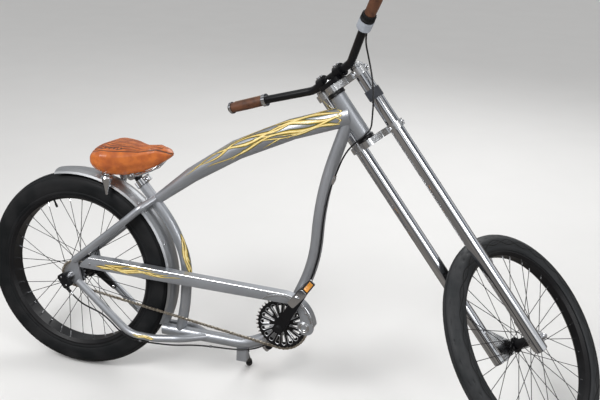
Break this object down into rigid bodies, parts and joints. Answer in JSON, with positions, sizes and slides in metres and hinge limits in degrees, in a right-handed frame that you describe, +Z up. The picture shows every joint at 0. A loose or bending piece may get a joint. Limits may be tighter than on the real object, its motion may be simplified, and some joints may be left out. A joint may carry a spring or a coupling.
{
  "type": "chopper bicycle",
  "caption": "Long-forked pedal bicycle with a swept tube frame, fat tyres, chain guard, leather saddle and low bars, parked on its side stand.",
  "frame": {"origin": "on the floor, under the middle of the bounding box of the parked bicycle", "axes": "+X forward along the frame, +Y to the rider's left, the side it leans to, +Z up"},
  "size_m": [2.01, 0.6508, 1.3202],
  "materials": {
    "frame_paint": "metallic silver-grey enamel",
    "chrome": "bright plating",
    "polished_alloy": "polished and machined",
    "brushed_metal": "brushed",
    "black_metal": "gloss black",
    "tyre": "rubber",
    "rubber": "matt",
    "leather": "waxed and tooled",
    "grey_plastic": "moulded",
    "chain_steel": "oiled"
  },
  "bodies": {
    "frame": {"chain": "chain_steel", "chain_guard": "frame_paint", "rear_axle": "chrome", "click_box": "black_metal", "brake_arm": "black_metal", "seat_post": "chrome", "seat_collar": "chrome", "saddle_frame": "chrome", "saddle": "leather", "head_tube": "chrome", "headset_cups": "black_metal", "seat_tube": "frame_paint", "top_tube": "frame_paint", "down_tube": "frame_paint", "bottom_tube": "frame_paint", "bottom_bracket_shell": "frame_paint", "rear_dropouts": "frame_paint", "rear_fender": "brushed_metal", "right_seat_stay": "frame_paint", "right_chainstay": "frame_paint", "left_seat_stay": "frame_paint", "left_chainstay": "frame_paint", "stand_bracket": "polished_alloy"},
    "steering": {"steerer": "black_metal", "right_fork_leg": "chrome", "left_fork_leg": "chrome", "fork_dropouts": "polished_alloy", "lower_crown": "polished_alloy", "upper_crown": "polished_alloy", "leg_sleeves": "rubber", "front_axle": "chrome", "handlebar": "black_metal", "stem_clamp": "black_metal", "right_grip": "leather", "left_grip": "leather", "grip_rings": "chrome", "shifter": "grey_plastic"},
    "front_wheel": {"front_tyre": "tyre", "front_rim": "black_metal", "front_spokes": "black_metal", "front_hub": "black_metal"},
    "rear_wheel": {"rear_tyre": "tyre", "rear_rim": "black_metal", "rear_spokes": "black_metal", "rear_hub": "black_metal", "rear_sprocket": "chain_steel"},
    "cranks": {"chainring": "black_metal", "crankset": "black_metal"},
    "right_pedal": {"right_pedal": "black_metal"},
    "left_pedal": {"left_pedal": "black_metal"},
    "side_stand": {"stand_leg": "polished_alloy", "stand_foot": "rubber"}
  },
  "joints": [
    {"name": "steering_turn", "type": "hinge", "parent": "frame", "child": "steering", "pos_m": [0.19647, -0.01747, 0.92243], "axis": [-0.6225, 0.0981, 0.7764], "range_deg": [-134, 0]},
    {"name": "front_wheel_spin", "type": "hinge", "parent": "steering", "child": "front_wheel", "pos_m": [0.75917, 0, 0.27489], "axis": [-0.7204, 0.3158, -0.6175], "continuous": true},
    {"name": "rear_wheel_spin", "type": "hinge", "parent": "frame", "child": "rear_wheel", "pos_m": [-0.67595, -0.09265, 0.32738], "axis": [0, 0.9921, -0.1253], "continuous": true},
    {"name": "crank_spin", "type": "hinge", "parent": "frame", "child": "cranks", "pos_m": [0.04105, -0.09904, 0.27678], "axis": [0, 0.9921, -0.1253], "continuous": true},
    {"name": "right_pedal_spin", "type": "hinge", "parent": "cranks", "child": "right_pedal", "pos_m": [0.12104, -0.22332, 0.43794], "axis": [0, 0.9921, -0.1253], "continuous": true},
    {"name": "left_pedal_spin", "type": "hinge", "parent": "cranks", "child": "left_pedal", "pos_m": [-0.03895, 0.02524, 0.11562], "axis": [0, 0.9921, -0.1253], "continuous": true},
    {"name": "side_stand_fold", "type": "hinge", "parent": "frame", "child": "side_stand", "pos_m": [-0.10095, -0.0903, 0.13054], "axis": [-0.2997, 0.7406, 0.6013], "range_deg": [0, 80]}
  ]
}
